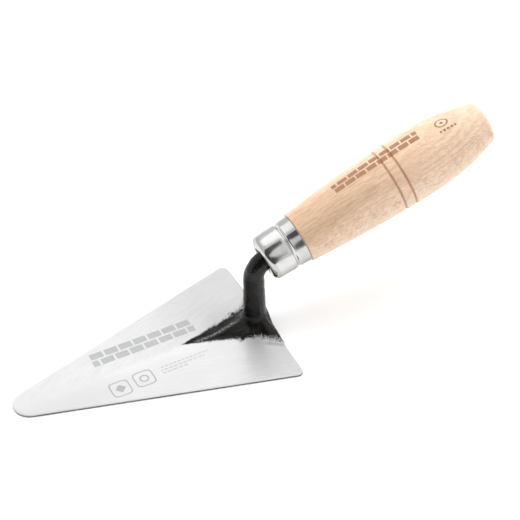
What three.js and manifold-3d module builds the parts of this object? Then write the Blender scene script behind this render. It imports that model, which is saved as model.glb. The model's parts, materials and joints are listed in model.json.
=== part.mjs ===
// Brick trowel: one steel forging (blade, neck and tang), a plated ferrule and a turned beech handle.
// Millimetres, +Z up. The flat underside of the blade lies on z = 0, the tip points along -X and the
// handle rises towards +X. The origin is on the underside, straight below the neck's axis.
import * as THREE from "three";
import { mergeVertices } from "three/addons/utils/BufferGeometryUtils.js";
import Module from "manifold-3d";

// Blade
const bladeLength = 140; // tip to heel, along the centre line
const heelWidth = 90.6; // over the rounded corners
const heelBow = 0.35; // how far the heel bulges behind the line between its corners
const heelCornerRadius = 3.2;
const heelCornerCut = 0.8; // what the rounding takes off the width at each corner
const tipRadius = 9;
const tipHalfWidth = 7.2; // the straight edges, drawn on to the tip, stand this far off the centre line
const edgeThickness = 1.25;
const crestRise = 1; // extra thickness on the centre line, at the neck
const crestReach = 95; // the crest fades out this far ahead of the neck

// Neck, a round bar that stands on the blade and bends back into the handle
const neckSetback = 5.6; // neck axis to heel edge
const neckFootDiameter = 12.2;
const neckTopDiameter = 10.2; // where it enters the ferrule
const neckBendRadius = 11;

// Root, where the forging spreads from the neck into the blade
const rootHeight = 9.5; // the spread starts at this height on the sides of the neck
const rootSpread = 11.5; // radius of the spread around the neck
const rootHollow = 1.8; // above 1, the sides of the spread are hollow
const ribReach = 34; // the rib runs this far ahead of the neck axis
const ribHeight = 7.2; // where the rib leaves the front of the neck
const ribHollow = 1.1;
const ribTaper = 18; // degrees, each side of the rib to the centre line, seen from above
const ribFade = 38; // degrees, how far round the neck the rib's steeper rise reaches
const heelSpread = 17.5; // the spread runs this far along the heel, each way
const heelSpreadHalfAngle = 18; // degrees
const heelOverhang = 0.9; // the spread stands this far behind the heel edge
const rootBottom = 0.6; // the spread's lowest edge, above the underside
const rootInset = 0.4; // its upper edge runs this deep into the neck

// Tang, the square spike that the handle is driven onto
const tangLength = 64; // from the ferrule's front
const tangShoulder = 12; // the round neck turns square over this length
const tangThickness = 7.6; // across the flats, after the shoulder
const tangTipThickness = 3.2;

// Ferrule
const ferruleRadius = 12.55;
const ferruleLength = 21.3;
const ferruleWall = 0.9;
const ferruleNoseRadius = 3; // outer rounding of the front edge
const ferruleLip = 5.6; // how far the front is closed in towards the neck
const ferruleFlare = 0.2; // at the rear edge
const beadPosition = 14; // middle of the rolled groove, from the front
const beadHalfWidth = 1.5;
const beadDepth = 0.75;

// Handle
const handleLift = 18.1; // degrees above the blade's plane
const handleFrontHeight = 41.1; // centre of the ferrule's front, above the underside
const handleFrontSetback = 5.5; // centre of the ferrule's front, behind the neck axis
const handleLength = 134.8; // ferrule front to butt
const shoulderStep = 0.95; // the wood behind the ferrule stands this far proud of it
const bellyRadius = 17.45; // thickest place
const bellyPosition = 87; // from the ferrule's front
const buttRadius = 11.6; // where the butt starts to close
const buttRounding = 4.6; // length of the butt's dome
const shoulderRounding = 0.4;
const swellPower = 1.55; // how full the swell towards the belly is
const taperPower = 2.6; // how late the taper towards the butt comes
const domePower = 2.5; // above 2, the butt is flatter than a ball
const groovePositions = [75.4, 81.5];
const grooveHalfWidth = 0.75;
const grooveDepth = 0.7;

// Fits
const fitGap = 0.3; // between the wood and the steel that it holds
const seatGap = 0.3; // between the ferrule's edges and the wood

// Fineness of the round surfaces
const outlineSteps = 14; // blade corners and tip
const turnSteps = 44; // around the ferrule and the handle
const barSteps = 24; // around the neck and the tang
const straightSteps = 5; // up the straight part of the neck
const bendSteps = 9; // along its bend
const tangSteps = 4; // from round to square
const spokes = 72; // around the root
const skirtSteps = 7; // up the root
const arcSteps = 4; // across small roundings
const gripSteps = 18; // along the grip
const grooveSteps = 6; // across a groove
const weldDistance = 1e-4; // points closer than this count as one

const heelX = neckSetback;
const tipX = heelX - bladeLength;
const liftAngle = THREE.MathUtils.degToRad(handleLift);
const handleDirection = new THREE.Vector3(Math.cos(liftAngle), 0, Math.sin(liftAngle));
const handleFront = new THREE.Vector3(handleFrontSetback, 0, handleFrontHeight);
const tenonRadius = ferruleRadius - ferruleWall - fitGap;
const tenonFront = ferruleWall + seatGap;
const ferruleMouthRadius = ferruleRadius - ferruleLip;
const shoulderRadius = ferruleRadius + ferruleFlare + shoulderStep;
const gripStart = ferruleLength + seatGap;
const domeStart = handleLength - buttRounding;

const wasm = await Module();
wasm.setup();

function solidOf(geometry) {
  const bare = geometry.clone();
  bare.deleteAttribute("normal");
  bare.deleteAttribute("uv");
  const merged = mergeVertices(bare, weldDistance);
  const mesh = new wasm.Mesh({
    numProp: 3,
    vertProperties: Float32Array.from(merged.attributes.position.array),
    triVerts: Uint32Array.from(merged.index.array),
  });
  return new wasm.Manifold(mesh);
}

function geometryOf(solid) {
  const mesh = solid.getMesh();
  const geometry = new THREE.BufferGeometry();
  geometry.setAttribute("position", new THREE.BufferAttribute(mesh.vertProperties, 3));
  geometry.setIndex(new THREE.BufferAttribute(mesh.triVerts, 1));
  geometry.computeVertexNormals();
  return geometry;
}

// A closed body through rings of equal point counts, with a flat fan over each end.
// The rings turn left around the direction in which they follow each other.
function loft(rings) {
  const count = rings[0].length;
  const points = rings.flat();
  const triangles = [];
  for (let ring = 0; ring + 1 < rings.length; ring += 1) {
    for (let side = 0; side < count; side += 1) {
      const next = (side + 1) % count;
      const low = ring * count;
      const high = low + count;
      triangles.push(low + side, low + next, high + next);
      triangles.push(low + side, high + next, high + side);
    }
  }
  const lastRing = (rings.length - 1) * count;
  const startCentre = points.push(middleOf(rings[0])) - 1;
  const endCentre = points.push(middleOf(rings[rings.length - 1])) - 1;
  for (let side = 0; side < count; side += 1) {
    const next = (side + 1) % count;
    triangles.push(startCentre, next, side);
    triangles.push(endCentre, lastRing + side, lastRing + next);
  }
  const geometry = new THREE.BufferGeometry().setFromPoints(points);
  geometry.setIndex(triangles);
  return geometry;
}

function middleOf(ring) {
  const middle = new THREE.Vector3();
  ring.forEach((point) => middle.add(point));
  return middle.divideScalar(ring.length);
}

// A body of revolution about +X. The profile's points are (radius, distance along the axis).
function turned(profile) {
  return new THREE.LatheGeometry(profile, turnSteps).rotateZ(-Math.PI / 2);
}

// ---- Blade ----

function bladeHalfWidth(x) {
  const share = THREE.MathUtils.clamp((x - tipX) / bladeLength, 0, 1);
  return THREE.MathUtils.lerp(tipHalfWidth, heelWidth / 2 + heelCornerCut, share);
}

// Height of the upper face: two shallow flats that meet in a soft crest on the centre line.
function bladeTop(x, y) {
  const fade = THREE.MathUtils.smoothstep(x, -crestReach, 0);
  const across = Math.min(Math.abs(y) / bladeHalfWidth(x), 1);
  return edgeThickness + crestRise * fade * (1 - across);
}

// Plan outline: straight edges, a round tip and a slightly bowed heel with small round corners.
function bladeOutline() {
  const tipCentreX = tipX + tipRadius;
  const cornerX = heelX - heelBow - heelCornerRadius;
  const cornerY = heelWidth / 2 - heelCornerRadius;
  const run = cornerX - tipCentreX;
  const slope = Math.atan2(cornerY, run);
  const spread = Math.asin((tipRadius - heelCornerRadius) / Math.hypot(run, cornerY));
  const edgeNormal = Math.PI / 2 + slope - spread;
  const shape = new THREE.Shape();
  shape.absarc(tipCentreX, 0, tipRadius, edgeNormal, 2 * Math.PI - edgeNormal, false);
  shape.absarc(cornerX, -cornerY, heelCornerRadius, -edgeNormal, 0, false);
  shape.quadraticCurveTo(heelX + heelBow, 0, cornerX + heelCornerRadius, cornerY);
  shape.absarc(cornerX, cornerY, heelCornerRadius, 0, edgeNormal, false);
  return shape;
}

// The plan outline, cut off by a body that has the upper face's shape and stands out past every edge.
function bladeSolid() {
  const margin = 5;
  const thickest = edgeThickness + crestRise + margin;
  const blankOptions = { depth: thickest, bevelEnabled: false, curveSegments: outlineSteps };
  const blank = solidOf(new THREE.ExtrudeGeometry(bladeOutline(), blankOptions));
  const lengthSteps = 16;
  const sideY = heelWidth / 2 + margin;
  const rings = [];
  for (let step = 0; step <= lengthSteps; step += 1) {
    const x = THREE.MathUtils.lerp(tipX - margin, heelX + margin, step / lengthSteps);
    const edgeY = bladeHalfWidth(x);
    const topPoints = [-sideY, -edgeY, 0, edgeY, sideY].map((y) => new THREE.Vector3(x, y, bladeTop(x, y)));
    const bottomPoints = [sideY, -sideY].map((y) => new THREE.Vector3(x, y, 0));
    rings.push([...topPoints.reverse(), ...bottomPoints.reverse()]);
  }
  return blank.intersect(solidOf(loft(rings)));
}

// ---- Neck and tang ----

// Centre line of the bar: straight up from the blade, round the bend, then along the handle.
function neckPath() {
  const turn = Math.PI / 2 - liftAngle;
  const cornerZ = handleFrontHeight - handleFrontSetback * Math.tan(liftAngle);
  const tangent = neckBendRadius * Math.tan(turn / 2);
  const bendStartZ = cornerZ - tangent;
  const stations = [{ point: new THREE.Vector3(0, 0, rootBottom), angle: 0 }];
  for (let step = 1; step < straightSteps; step += 1) {
    const z = THREE.MathUtils.lerp(rootBottom, bendStartZ, step / straightSteps);
    stations.push({ point: new THREE.Vector3(0, 0, z), angle: 0 });
  }
  for (let step = 0; step <= bendSteps; step += 1) {
    const angle = (turn * step) / bendSteps;
    const x = neckBendRadius * (1 - Math.cos(angle));
    const z = bendStartZ + neckBendRadius * Math.sin(angle);
    stations.push({ point: new THREE.Vector3(x, 0, z), angle });
  }
  return stations;
}

// One ring of the bar. Square is 0 for a round section and 1 for a square one.
function barRing(point, angle, halfThickness, square) {
  const outward = new THREE.Vector3(Math.cos(angle), 0, -Math.sin(angle));
  const sideways = new THREE.Vector3(0, 1, 0);
  const ring = [];
  for (let step = 0; step < barSteps; step += 1) {
    const around = (2 * Math.PI * step) / barSteps;
    const cosine = Math.cos(around);
    const sine = Math.sin(around);
    const toFlat = Math.max(Math.abs(cosine), Math.abs(sine));
    const reach = halfThickness / THREE.MathUtils.lerp(1, toFlat, square);
    const offset = outward.clone().multiplyScalar(reach * cosine).addScaledVector(sideways, reach * sine);
    ring.push(offset.add(point));
  }
  return ring;
}

// The neck's bar and the tang, each side grown by the given gap.
function barRings(gap) {
  const stations = neckPath();
  const bendEnd = stations[stations.length - 1];
  const neckTop = bendEnd.point.z;
  const rings = stations.map(({ point, angle }) => {
    const thickness = THREE.MathUtils.lerp(neckFootDiameter, neckTopDiameter, point.z / neckTop);
    return barRing(point, angle, thickness / 2 + gap, 0);
  });
  const tangStart = bendEnd.point.clone().sub(handleFront).dot(handleDirection);
  const squareStart = tangStart + tangShoulder;
  for (let step = 1; step <= tangSteps; step += 1) {
    const share = step / tangSteps;
    const along = THREE.MathUtils.lerp(tangStart, squareStart, share);
    const thickness = THREE.MathUtils.lerp(neckTopDiameter, tangThickness, share);
    const point = handleFront.clone().addScaledVector(handleDirection, along);
    rings.push(barRing(point, bendEnd.angle, thickness / 2 + gap, share));
  }
  const tip = handleFront.clone().addScaledVector(handleDirection, tangLength + gap);
  rings.push(barRing(tip, bendEnd.angle, tangTipThickness / 2 + gap, 1));
  return rings;
}

// ---- Root ----

// A bell-shaped share: 1 in the middle, fading out at about twice the half angle given in degrees.
function lobe(angle, halfAngle) {
  return Math.exp(-((angle / THREE.MathUtils.degToRad(halfAngle)) ** 2));
}

// How far the forging spreads from the neck axis, by direction: 0 points to the heel, pi to the tip.
// Seen from above it is a round skirt, a straight-sided dart towards the tip and two heel corners.
function rootReach(direction) {
  const fromHeel = Math.abs(direction);
  const fromTip = Math.PI - fromHeel;
  const taper = Math.tan(THREE.MathUtils.degToRad(ribTaper));
  const dart = (ribReach * taper) / (Math.sin(fromTip) + Math.abs(Math.cos(fromTip)) * taper);
  const cornerDirection = Math.atan2(heelSpread, neckSetback);
  const cornerReach = Math.hypot(heelSpread, neckSetback);
  const cornerPart = (cornerReach - rootSpread) * lobe(fromHeel - cornerDirection, heelSpreadHalfAngle);
  const free = Math.max(rootSpread, dart) + cornerPart;
  const heelLimit = fromHeel < Math.PI / 2 ? (neckSetback + heelOverhang) / Math.cos(direction) : Infinity;
  return Math.max(Math.min(free, heelLimit), neckFootDiameter / 2);
}

// A hollow skirt from the sides of the neck down to the blade, drawn out forwards into the rib.
function rootRings() {
  const innerRadius = neckFootDiameter / 2 - rootInset;
  const rings = [];
  for (let step = 0; step <= skirtSteps; step += 1) {
    const rise = step / skirtSteps;
    const ring = [];
    for (let spoke = 0; spoke < spokes; spoke += 1) {
      const direction = (2 * Math.PI * spoke) / spokes - Math.PI;
      const ribShare = lobe(Math.PI - Math.abs(direction), ribFade);
      const topZ = THREE.MathUtils.lerp(rootHeight, ribHeight, ribShare);
      const hollow = THREE.MathUtils.lerp(rootHollow, ribHollow, ribShare);
      const radius = THREE.MathUtils.lerp(innerRadius, rootReach(direction), (1 - rise) ** hollow);
      const z = THREE.MathUtils.lerp(rootBottom, topZ, rise);
      ring.push(new THREE.Vector3(radius * Math.cos(direction), radius * Math.sin(direction), z));
    }
    rings.push(ring);
  }
  return rings;
}

function forging() {
  const bar = solidOf(loft(barRings(0)));
  const root = solidOf(loft(rootRings()));
  return geometryOf(bladeSolid().add(root).add(bar));
}

// ---- Ferrule ----

// The rolled groove, drawn into a wall at the given radius.
function beadPoints(wallRadius) {
  const points = [];
  const steps = 2 * arcSteps;
  for (let step = 0; step <= steps; step += 1) {
    const share = step / steps;
    const along = beadPosition + beadHalfWidth * (2 * share - 1);
    const dip = (beadDepth * (1 - Math.cos(2 * Math.PI * share))) / 2;
    points.push(new THREE.Vector2(wallRadius - dip, along));
  }
  return points;
}

function ferrule() {
  const innerRadius = ferruleRadius - ferruleWall;
  const nose = [];
  for (let step = 0; step <= arcSteps; step += 1) {
    const angle = (Math.PI / 2) * (step / arcSteps);
    const radius = ferruleRadius - ferruleNoseRadius * (1 - Math.sin(angle));
    nose.push(new THREE.Vector2(radius, ferruleNoseRadius * (1 - Math.cos(angle))));
  }
  return turned([
    new THREE.Vector2(ferruleMouthRadius, 0),
    ...nose,
    ...beadPoints(ferruleRadius),
    new THREE.Vector2(ferruleRadius + ferruleFlare, ferruleLength),
    new THREE.Vector2(innerRadius + ferruleFlare, ferruleLength),
    ...beadPoints(innerRadius).reverse(),
    new THREE.Vector2(innerRadius, ferruleNoseRadius),
    new THREE.Vector2(innerRadius - (ferruleNoseRadius - ferruleWall), ferruleWall),
    new THREE.Vector2(ferruleMouthRadius, ferruleWall),
    new THREE.Vector2(ferruleMouthRadius, 0),
  ]);
}

// ---- Handle ----

// Radius of the wood: a long swell up to the belly, a taper to the butt, then a flattened dome.
function gripRadius(along) {
  if (along < bellyPosition) {
    const share = (bellyPosition - along) / (bellyPosition - gripStart);
    return bellyRadius - (bellyRadius - shoulderRadius) * share ** swellPower;
  }
  if (along < domeStart) {
    const share = (along - bellyPosition) / (domeStart - bellyPosition);
    return THREE.MathUtils.lerp(bellyRadius, buttRadius, share ** taperPower);
  }
  const share = Math.min((along - domeStart) / buttRounding, 1);
  return buttRadius * (1 - share ** domePower) ** (1 / domePower);
}

function grooveDip(along) {
  const distance = Math.min(...groovePositions.map((position) => Math.abs(along - position)));
  if (distance >= grooveHalfWidth) return 0;
  return (grooveDepth * (1 + Math.cos((Math.PI * distance) / grooveHalfWidth))) / 2;
}

// Places along the grip where its outline needs a point: even ones, with closer ones across each
// groove and round the butt.
function gripStations() {
  const stations = [];
  const clearOfGroove = grooveHalfWidth + 0.15;
  const buttSteps = 2 * arcSteps;
  for (let step = 0; step <= gripSteps; step += 1) {
    const along = THREE.MathUtils.lerp(gripStart + shoulderRounding, domeStart, step / gripSteps);
    const nearest = Math.min(...groovePositions.map((position) => Math.abs(along - position)));
    if (nearest > clearOfGroove) stations.push(along);
  }
  for (const position of groovePositions) {
    for (let step = 0; step <= grooveSteps; step += 1) {
      stations.push(position + grooveHalfWidth * ((2 * step) / grooveSteps - 1));
    }
  }
  for (let step = 1; step < buttSteps; step += 1) {
    stations.push(domeStart + buttRounding * Math.sin((Math.PI / 2) * (step / buttSteps)));
  }
  return stations.sort((first, second) => first - second);
}

// The wood before its bore: a tenon for the ferrule, the grip and the butt.
function handleBlank() {
  const tenonChamfer = ferruleNoseRadius - ferruleWall + seatGap;
  const grip = gripStations().map((along) => new THREE.Vector2(gripRadius(along) - grooveDip(along), along));
  return turned([
    new THREE.Vector2(0, tenonFront),
    new THREE.Vector2(tenonRadius - tenonChamfer, tenonFront),
    new THREE.Vector2(tenonRadius, tenonFront + tenonChamfer),
    ...beadPoints(tenonRadius),
    new THREE.Vector2(tenonRadius, gripStart),
    new THREE.Vector2(shoulderRadius - shoulderRounding, gripStart),
    ...grip,
    new THREE.Vector2(0, handleLength),
  ]);
}

function handle() {
  const bore = loft(barRings(fitGap));
  bore.applyMatrix4(handleFrame().matrixWorld.clone().invert());
  return geometryOf(solidOf(handleBlank()).subtract(solidOf(bore)));
}

// ---- Assembly ----

// Local +X runs along the handle, from the middle of the ferrule's front edge to the butt.
function handleFrame() {
  const frame = new THREE.Group();
  frame.position.copy(handleFront);
  frame.rotation.y = -liftAngle;
  frame.updateMatrixWorld(true);
  return frame;
}

function piece(name, geometry, material) {
  const mesh = new THREE.Mesh(geometry, material);
  mesh.name = name;
  return mesh;
}

const groundSteel = new THREE.MeshStandardMaterial({ color: 0xd4d5d6, roughness: 0.35, metalness: 1 });
const plating = new THREE.MeshStandardMaterial({ color: 0xc9cbcc, roughness: 0.22, metalness: 1 });
const beech = new THREE.MeshStandardMaterial({ color: 0xe2b98c, roughness: 0.55, metalness: 0 });

const trowel = new THREE.Group();
trowel.add(piece("blade_with_tang", forging(), groundSteel));
const handleAssembly = handleFrame();
handleAssembly.add(piece("ferrule", ferrule(), plating));
handleAssembly.add(piece("handle", handle(), beech));
trowel.add(handleAssembly);

export default trowel;
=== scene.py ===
import json
import math

import bpy
import numpy as np
from mathutils import Matrix, Vector, noise
from mathutils.geometry import delaunay_2d_cdt


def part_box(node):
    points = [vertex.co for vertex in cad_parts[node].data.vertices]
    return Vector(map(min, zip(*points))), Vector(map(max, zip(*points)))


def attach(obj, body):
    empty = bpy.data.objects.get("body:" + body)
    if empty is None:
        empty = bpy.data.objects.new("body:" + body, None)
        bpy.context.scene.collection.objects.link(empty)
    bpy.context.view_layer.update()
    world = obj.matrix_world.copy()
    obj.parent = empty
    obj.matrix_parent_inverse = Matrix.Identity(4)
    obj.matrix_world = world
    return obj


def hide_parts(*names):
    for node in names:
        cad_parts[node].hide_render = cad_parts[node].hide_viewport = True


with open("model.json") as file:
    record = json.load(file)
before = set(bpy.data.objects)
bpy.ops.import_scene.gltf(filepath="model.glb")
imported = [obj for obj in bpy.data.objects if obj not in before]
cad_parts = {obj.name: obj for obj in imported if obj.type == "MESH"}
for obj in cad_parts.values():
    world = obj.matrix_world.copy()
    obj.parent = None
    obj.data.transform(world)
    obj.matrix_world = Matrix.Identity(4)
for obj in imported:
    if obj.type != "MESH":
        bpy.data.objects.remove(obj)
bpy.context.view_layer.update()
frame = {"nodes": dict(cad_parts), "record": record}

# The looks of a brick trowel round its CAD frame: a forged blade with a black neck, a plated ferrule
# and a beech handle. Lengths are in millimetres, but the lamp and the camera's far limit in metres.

MM = 0.001

# ---- Places taken from the frame, in millimetres ----

FORGING_LOW, FORGING_HIGH = (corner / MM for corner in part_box("blade_with_tang"))
GRIP = next(mount for mount in frame["record"]["mounts"] if mount["name"] == "grip")
HANDLE_AXIS = Vector(GRIP["axis"]).normalized()
HANDLE_LIFT = math.atan2(HANDLE_AXIS.z, HANDLE_AXIS.x)


def along_handle(node):
    """Where a CAD node begins and ends along the handle's axis, from the grip mount's point."""
    origin = Vector(GRIP["pos_m"])
    vertices = frame["nodes"][node].data.vertices
    spots = [(vertex.co - origin).dot(HANDLE_AXIS) for vertex in vertices]
    return min(spots) / MM, max(spots) / MM


FERRULE_FRONT, FERRULE_REAR = along_handle("ferrule")
HANDLE_REAR = along_handle("handle")[1]
HANDLE_ORIGIN = Vector(GRIP["pos_m"]) / MM + HANDLE_AXIS * FERRULE_FRONT
FERRULE_LENGTH = FERRULE_REAR - FERRULE_FRONT
HANDLE_LENGTH = HANDLE_REAR - FERRULE_FRONT

# ---- Sizes of the forging, as in the CAD model ----

TIP_X = FORGING_LOW.x
HALF_WIDTH = FORGING_HIGH.y
HEEL_X = 5.6
HEEL_BOW = 0.35
CORNER_RADIUS = 3.2
CORNER_CUT = 0.8
TIP_RADIUS = 9
TIP_HALF_WIDTH = 7.2
EDGE_THICKNESS = 1.25
CREST_RISE = 1
CREST_REACH = 95
DRESSING_DEPTH = 0.22
DRESSING_SETBACK = 5.5
DRESSING_LENGTH = 4.5
DRESSING_SIDE = 18.5
DRESSING_SLOPE = 0.25
DRESSING_WIDTH = 1.6

NECK_START = 2
NECK_FOOT_RADIUS = 6.1
NECK_TOP_RADIUS = 5.1
NECK_BEND_RADIUS = 11
TANG_LENGTH = 64
TANG_SHOULDER = 12
TANG_HALF = 3.8
TANG_TIP_HALF = 1.6

ROOT_HEIGHT = 9.5
ROOT_SPREAD = 11.5
ROOT_HOLLOW = 1.8
RIB_REACH = 34
RIB_HEIGHT = 7.2
RIB_HOLLOW = 1.1
RIB_TAPER = math.radians(18)
RIB_FADE = math.radians(38)
HEEL_SPREAD = 17.5
HEEL_SPREAD_ANGLE = math.radians(18)
HEEL_OVERHANG = 0.9
ROOT_BOTTOM = 0.6
ROOT_FILLET = 1.2
ROOT_FILLET_RUN = 0.7

# ---- Reach of the black coat round the neck's axis ----

COAT_TIP_TURN = math.radians(2.5)
COAT_RIB_REACH = 41
COAT_RIB_TAPERS = {"left": math.radians(15.5), "right": math.radians(16.5)}
COAT_SKIRTS = {"left": 11.6, "right": 12.4}
COAT_HEEL_SPREAD = 6.5
COAT_HEEL_ANGLE = math.radians(16)
COAT_LOBES = ((3.6, math.radians(-141), math.radians(5.5)), (1.6, math.radians(128), math.radians(6)))
COAT_DEEPEST = 9


def lerp(low, high, share):
    return low + (high - low) * share


def clamp(value, low=0, high=1):
    return max(low, min(high, value))


def smoothstep(value, low, high):
    share = clamp((value - low) / (high - low))
    return share * share * (3 - 2 * share)


def bell(value, width):
    return math.exp(-((value / width) ** 2))


# ---- Mesh helpers ----


def add_mesh(name, points, faces):
    """A mesh object from points in millimetres."""
    mesh = bpy.data.meshes.new(name)
    mesh.from_pydata([tuple(c * MM for c in point) for point in points], [], faces)
    mesh.validate()
    mesh.update()
    mesh.polygons.foreach_set("use_smooth", [True] * len(mesh.polygons))
    obj = bpy.data.objects.new(name, mesh)
    bpy.context.scene.collection.objects.link(obj)
    return obj


def add_number(obj, name, values):
    """One number for each point of a mesh, for its material to read."""
    attribute = obj.data.attributes.new(name, "FLOAT", "POINT")
    attribute.data.foreach_set("value", np.array(values, dtype=np.float32))


def stack_faces(ring_count, side_count, first=0):
    """Quads between rings of equal point counts that follow each other in a list of points."""
    faces = []
    for ring in range(ring_count - 1):
        for side in range(side_count):
            following = (side + 1) % side_count
            low = first + ring * side_count
            high = low + side_count
            faces.append((low + side, low + following, high + following, high + side))
    return faces


def swept(profile, steps):
    """Points of (radius, along) pairs turned about local X."""
    points = []
    for radius, along in profile:
        for step in range(steps):
            angle = 2 * math.pi * step / steps
            points.append((along, radius * math.cos(angle), radius * math.sin(angle)))
    return points


def turned(profile, steps):
    """Points and faces of a turned body whose profile begins and ends on the axis."""
    points = [(profile[0][1], 0, 0)] + swept(profile[1:-1], steps) + [(profile[-1][1], 0, 0)]
    ring_count = len(profile) - 2
    faces = stack_faces(ring_count, steps, first=1)
    last_ring = 1 + (ring_count - 1) * steps
    end = len(points) - 1
    for step in range(steps):
        following = (step + 1) % steps
        faces.append((0, 1 + following, 1 + step))
        faces.append((end, last_ring + step, last_ring + following))
    return points, faces


def closed_turned(profile, steps):
    """The same for a profile that closes on itself, such as a tube's wall."""
    faces = stack_faces(len(profile), steps)
    last = (len(profile) - 1) * steps
    for step in range(steps):
        following = (step + 1) % steps
        faces.append((last + step, last + following, following, step))
    return swept(profile, steps), faces


def rounded_edge(radius, start, rounding, steps):
    """(radius, along) pairs round a front edge, from its flat face out to its full radius."""
    angles = [math.pi / 2 * step / steps for step in range(steps + 1)]
    return [(radius - rounding * (1 - math.sin(a)), start + rounding * (1 - math.cos(a))) for a in angles]


HANDLE_TURN = Matrix.Rotation(-HANDLE_LIFT, 4, "Y")


def on_handle(points):
    """Points given in the handle's own frame, in the frame of the whole tool."""
    return [HANDLE_TURN @ Vector(point) + HANDLE_ORIGIN for point in points]


# ---- Blade ----

TIP_STEPS = 40
CORNER_STEPS = 12
HEEL_STEPS = 48
SIDE_STEPS = 90
COARSE_SPACING = 1.5
FINE_SPACING = 0.75
FINE_REACH = 26
# (inset, height) of the rings up the edge: the sheared part first, then the worn upper corner.
CUT_LEVELS = ((0.3, 0), (0.06, 0.2), (0, 0.35), (0, 0.88))
WORN_LEVELS = ((0.02, 1), (0.07, 1.13), (0.15, 1.21))
RIM_INSET = 0.26
RIM_GAP = 1.2
MERGE_DISTANCE = 1e-5


def blade_half_width(x):
    share = clamp((x - TIP_X) / (HEEL_X - TIP_X))
    return lerp(TIP_HALF_WIDTH, HALF_WIDTH + CORNER_CUT, share)


def blade_top(x, y):
    fade = smoothstep(x, -CREST_REACH, 0)
    across = min(abs(y) / blade_half_width(x), 1)
    return EDGE_THICKNESS + CREST_RISE * fade * (1 - across)


def arc(centre_x, centre_y, radius, start, end, steps):
    spots = [lerp(start, end, step / steps) for step in range(steps + 1)]
    return [(centre_x + radius * math.cos(a), centre_y + radius * math.sin(a)) for a in spots]


def blade_outline(inset):
    """Plan outline of the blade, counter-clockwise, moved inwards by the inset."""
    tip_x = TIP_X + TIP_RADIUS
    corner_x = HEEL_X - HEEL_BOW - CORNER_RADIUS
    corner_y = HALF_WIDTH - CORNER_RADIUS
    run = corner_x - tip_x
    slope = math.atan2(corner_y, run)
    spread = math.asin((TIP_RADIUS - CORNER_RADIUS) / math.hypot(run, corner_y))
    normal = math.pi / 2 + slope - spread
    tip_arc = arc(tip_x, 0, TIP_RADIUS - inset, normal, 2 * math.pi - normal, TIP_STEPS)
    low_arc = arc(corner_x, -corner_y, CORNER_RADIUS - inset, -normal, 0, CORNER_STEPS)
    high_arc = arc(corner_x, corner_y, CORNER_RADIUS - inset, 0, normal, CORNER_STEPS)
    heel = []
    for step in range(1, HEEL_STEPS):
        share = step / HEEL_STEPS
        bow = HEEL_BOW * 4 * share * (1 - share)
        heel.append((corner_x + CORNER_RADIUS + bow - inset, lerp(-corner_y, corner_y, share)))
    low_side = between(tip_arc[-1], low_arc[0], SIDE_STEPS)
    high_side = between(high_arc[-1], tip_arc[0], SIDE_STEPS)
    return tip_arc + low_side + low_arc + heel + high_arc + high_side


def between(start, end, steps):
    """Points strictly between two points."""
    shares = [step / steps for step in range(1, steps)]
    return [(lerp(start[0], end[0], share), lerp(start[1], end[1], share)) for share in shares]


def blade_interior():
    """Plan points inside the blade, closer together near the neck."""
    points = []
    for spacing, is_fine in ((COARSE_SPACING, False), (FINE_SPACING, True)):
        x = HEEL_X - RIM_GAP
        while x > TIP_X + RIM_GAP:
            limit = blade_half_width(x) - RIM_GAP
            if x < TIP_X + TIP_RADIUS:
                limit = math.sqrt(max(TIP_RADIUS**2 - (x - TIP_X - TIP_RADIUS) ** 2, 0)) - RIM_GAP
            rows = int(limit / spacing)
            for row in range(-rows, rows + 1):
                is_near = math.hypot(x, row * spacing) < FINE_REACH
                if is_near == is_fine:
                    points.append((x, row * spacing))
            x -= spacing
    return points


def blade_surface(x, y):
    """The upper face, with a shallow dressing mark on each side of the root."""
    hollow = DRESSING_DEPTH * bell(x - HEEL_X + DRESSING_SETBACK, DRESSING_LENGTH)
    hollow *= bell(abs(y) - DRESSING_SIDE + DRESSING_SLOPE * x, DRESSING_WIDTH)
    return blade_top(x, y) - hollow


def add_blade_face(points, faces, rim, first, is_top):
    """Adds the upper face or the underside within a rim of points."""
    count = len(rim)
    plan = [Vector((x, y)) for x, y, _ in rim]
    if is_top:
        plan += [Vector(spot) for spot in blade_interior()]
    loop = [(k, (k + 1) % count) for k in range(count)]
    spots, _, triangles, *_ = delaunay_2d_cdt(plan, loop, [], 1, MERGE_DISTANCE)
    lookup = list(range(first, first + count))
    for spot in spots[count:]:
        lookup.append(len(points))
        points.append((spot.x, spot.y, blade_surface(spot.x, spot.y)))
    for triangle in triangles:
        corners = [lookup[k] for k in triangle]
        faces.append(tuple(corners if is_top else reversed(corners)))


def build_blade():
    """The blade, and how many of its first faces belong to the sheared edge."""
    rings = [[(x, y, z) for x, y in blade_outline(inset)] for inset, z in CUT_LEVELS + WORN_LEVELS]
    rings.append([(x, y, blade_surface(x, y)) for x, y in blade_outline(RIM_INSET)])
    count = len(rings[0])
    points = [point for ring in rings for point in ring]
    faces = stack_faces(len(rings), count)
    cut_faces = (len(CUT_LEVELS) - 1) * count
    add_blade_face(points, faces, rings[-1], (len(rings) - 1) * count, True)
    add_blade_face(points, faces, rings[0], 0, False)
    blade = add_mesh("blade", points, faces)
    add_number(blade, "coat", [coat_inside(x, y) for x, y, _ in points])
    return blade, cut_faces


# ---- Neck, root and tang ----


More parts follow.
